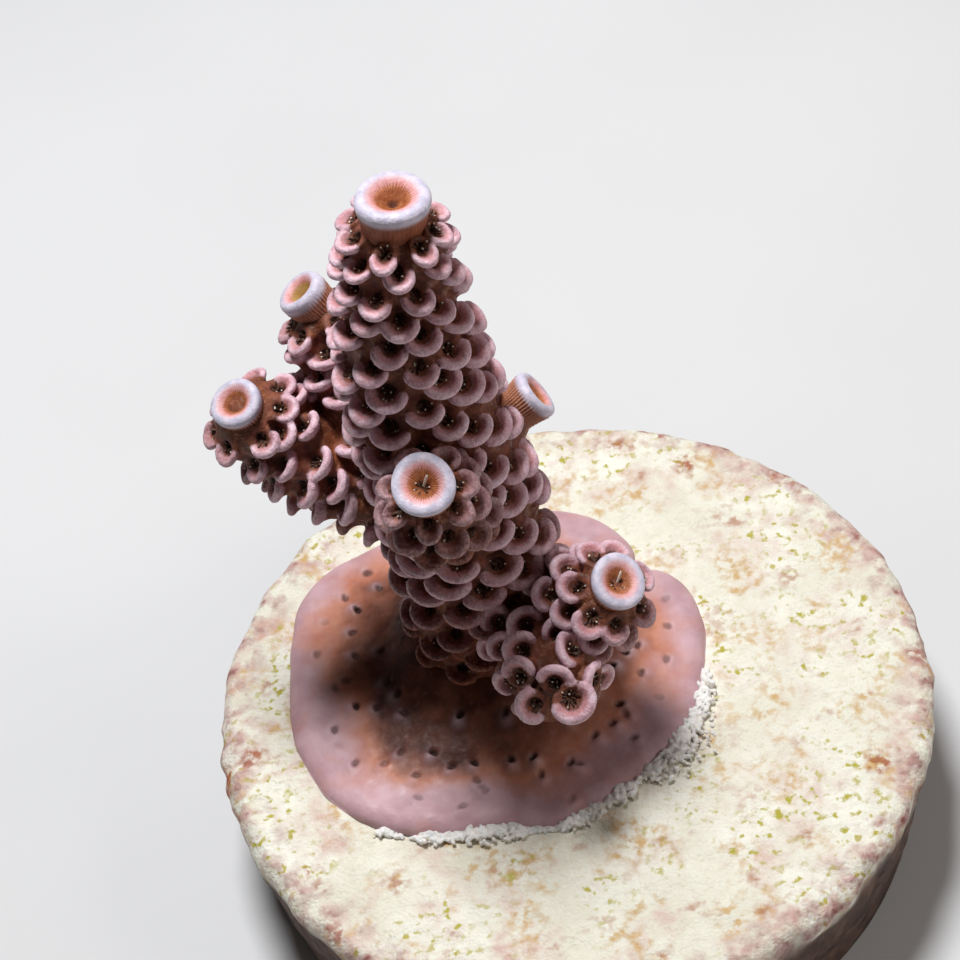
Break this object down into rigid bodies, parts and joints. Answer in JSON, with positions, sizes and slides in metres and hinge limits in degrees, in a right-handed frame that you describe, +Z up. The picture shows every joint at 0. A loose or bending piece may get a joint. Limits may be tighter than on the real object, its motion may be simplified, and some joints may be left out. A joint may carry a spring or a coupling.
{
  "type": "branching stony coral fragment on a ceramic disc",
  "caption": "Small branching stony coral grown onto a round ceramic disc, with a tall scaly leader, short side branches and a low encrusting base.",
  "frame": {"origin": "centre of the disc's flat underside", "axes": "+Z up along the coral's leader, -Y to the front, +X to the right seen from the front"},
  "size_m": [0.032, 0.0321, 0.0377],
  "materials": {
    "crusted_ceramic": "unglazed ceramic under a thin pale crust with pink, rust and yellow-green spots",
    "base_tissue": "smooth lavender-pink tissue that turns orange-brown towards the stem",
    "branch_tissue": "brown tissue with pink-lavender corallite lips and orange-brown cups"
  },
  "bodies": {
    "root": {"frag_disc": "crusted_ceramic", "coral_base": "base_tissue", "stem": "branch_tissue", "leader": "branch_tissue", "left_branch": "branch_tissue", "back_branch": "branch_tissue", "front_branch": "branch_tissue", "low_right_branch": "branch_tissue", "low_front_branch": "branch_tissue"}
  },
  "joints": []
}
